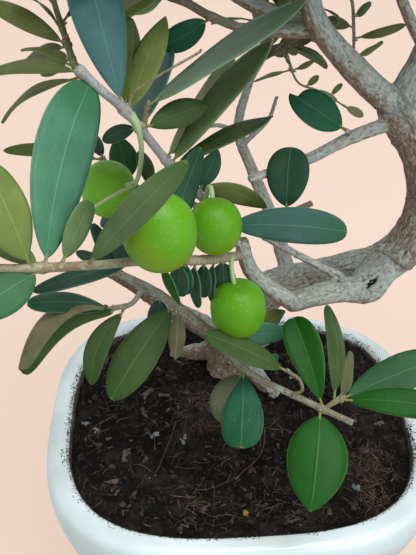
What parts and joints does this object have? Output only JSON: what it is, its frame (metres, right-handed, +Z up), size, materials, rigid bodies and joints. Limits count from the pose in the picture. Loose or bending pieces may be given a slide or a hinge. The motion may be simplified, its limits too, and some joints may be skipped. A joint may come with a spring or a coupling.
{
  "type": "olive bonsai",
  "caption": "Small olive tree trained as a bonsai, with a leaning trunk, open boughs, slender leaves and green olives, standing in the soil of a white glazed pot.",
  "frame": {"origin": "middle of the pot's flat underside, on the surface that it stands on", "axes": "+Z up, +X towards the side that the trunk leans to, -Y towards the front that the low boughs reach out to"},
  "size_m": [0.2451, 0.1951, 0.3372],
  "materials": {
    "glazed_pot": "white glaze over ceramic, glossy",
    "soil": "damp potting soil, rough",
    "bark": "grey-brown olive bark, rough",
    "foliage": "leathery green leaves with a soft gloss"
  },
  "bodies": {
    "root": {"bough_back": "bark", "bough_back_high": "bark", "bough_front": "bark", "bough_front_end": "bark", "bough_front_twig": "bark", "bough_leader": "bark", "bough_leader_front": "bark", "bough_left_back": "bark", "bough_low_left": "bark", "bough_middle": "bark", "bough_right": "bark", "bough_right_back": "bark", "bough_right_front": "bark", "bough_top_front": "bark", "bough_upper_left": "bark", "foliage_back": "foliage", "foliage_back_high": "foliage", "foliage_front_left": "foliage", "foliage_inner": "foliage", "foliage_leader_front": "foliage", "foliage_left_back": "foliage", "foliage_low_front": "foliage", "foliage_middle": "foliage", "foliage_right": "foliage", "foliage_right_back": "foliage", "foliage_right_front": "foliage", "foliage_top": "foliage", "foliage_top_front": "foliage", "foliage_top_left": "foliage", "foliage_upper_left": "foliage", "pot": "glazed_pot", "soil": "soil", "trunk": "bark"}
  },
  "joints": []
}
